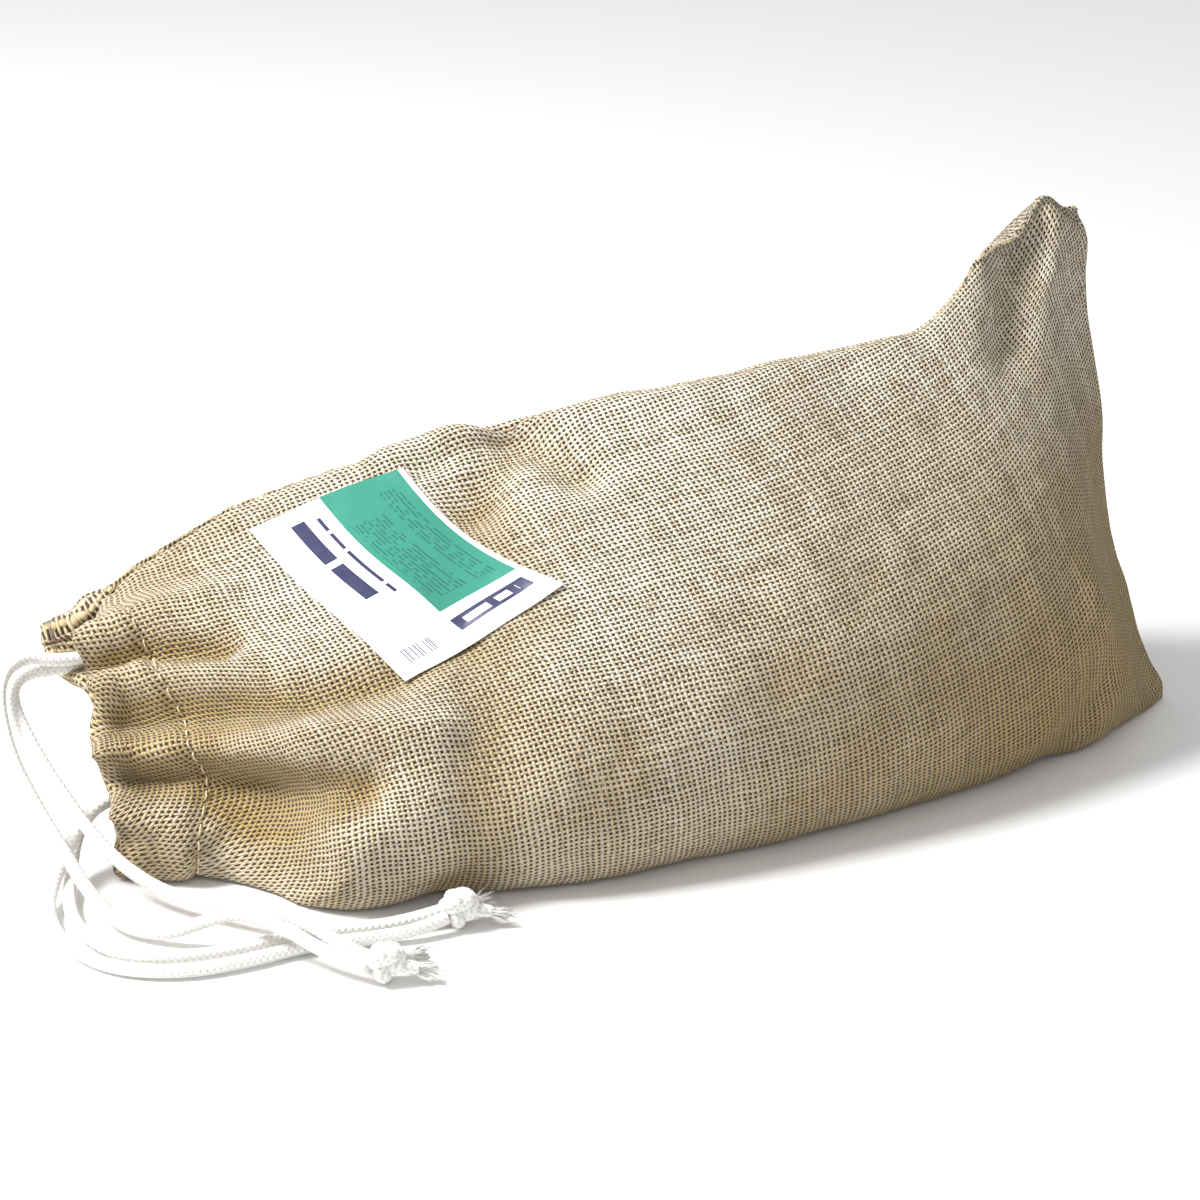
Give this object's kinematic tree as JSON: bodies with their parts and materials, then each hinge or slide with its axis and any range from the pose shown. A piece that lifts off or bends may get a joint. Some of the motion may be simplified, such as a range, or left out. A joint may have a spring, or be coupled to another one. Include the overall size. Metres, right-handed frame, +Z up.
{
  "type": "drawstring bag of wood chips",
  "caption": "Hessian drawstring bag filled with wood chips, lying on its side with its mouth open, with a paper label and knotted cotton drawcords.",
  "frame": {"origin": "bottom centre of the bag's own bounding box, on the floor, the free drawcord ends left out", "axes": "+X along the bag from its mouth to its bottom seam, -Y out of the front panel that carries the label, +Z up"},
  "size_m": [0.4722, 0.1975, 0.1874],
  "materials": {
    "hessian": "coarse plain-woven jute, matt and fuzzy",
    "wood_chips": "rough split wood",
    "thread": "matt twisted sewing thread",
    "label_paper": "gloss-coated paper sticker",
    "cotton_cord": "soft braided white cotton"
  },
  "bodies": {
    "bag": {"front_panel": "hessian", "back_panel": "hessian", "chip_fill": "wood_chips", "loose_chips": "wood_chips", "upper_side_stitching": "thread", "lower_side_stitching": "thread", "bottom_stitching": "thread", "paper_label": "label_paper", "cord_a_turn": "cotton_cord", "cord_b_turn": "cotton_cord"},
    "front_lip": {"front_casing": "hessian", "front_hem_stitching": "thread", "cord_a_front_run": "cotton_cord", "cord_b_front_run": "cotton_cord"},
    "back_lip": {"back_casing": "hessian", "back_hem_stitching": "thread", "cord_a_back_run": "cotton_cord", "cord_b_back_run": "cotton_cord"},
    "cord_a": {"cord_a_end_1": "cotton_cord", "cord_a_end_2": "cotton_cord", "cord_a_knot": "cotton_cord"},
    "cord_b": {"cord_b_end_1": "cotton_cord", "cord_b_end_2": "cotton_cord", "cord_b_knot": "cotton_cord"}
  },
  "joints": [
    {"name": "front_lip_open", "type": "hinge", "parent": "bag", "child": "front_lip", "pos_m": [-0.187, 0.0407, 0.0538], "axis": [0, 0.677, 0.736], "range_deg": [0, 15]},
    {"name": "back_lip_open", "type": "hinge", "parent": "bag", "child": "back_lip", "pos_m": [-0.187, 0.0584, 0.0376], "axis": [0, -0.677, -0.736], "range_deg": [0, 15]},
    {"name": "cord_a_pull", "type": "slide", "parent": "bag", "child": "cord_a", "axis": [-1, 0, 0], "range_m": [0, 0.04]},
    {"name": "cord_b_pull", "type": "slide", "parent": "bag", "child": "cord_b", "axis": [-1, 0, 0], "range_m": [0, 0.04]}
  ],
  "couplings": [
    {"joint": "cord_b_pull", "follows": "cord_a_pull", "ratio": 1}
  ]
}
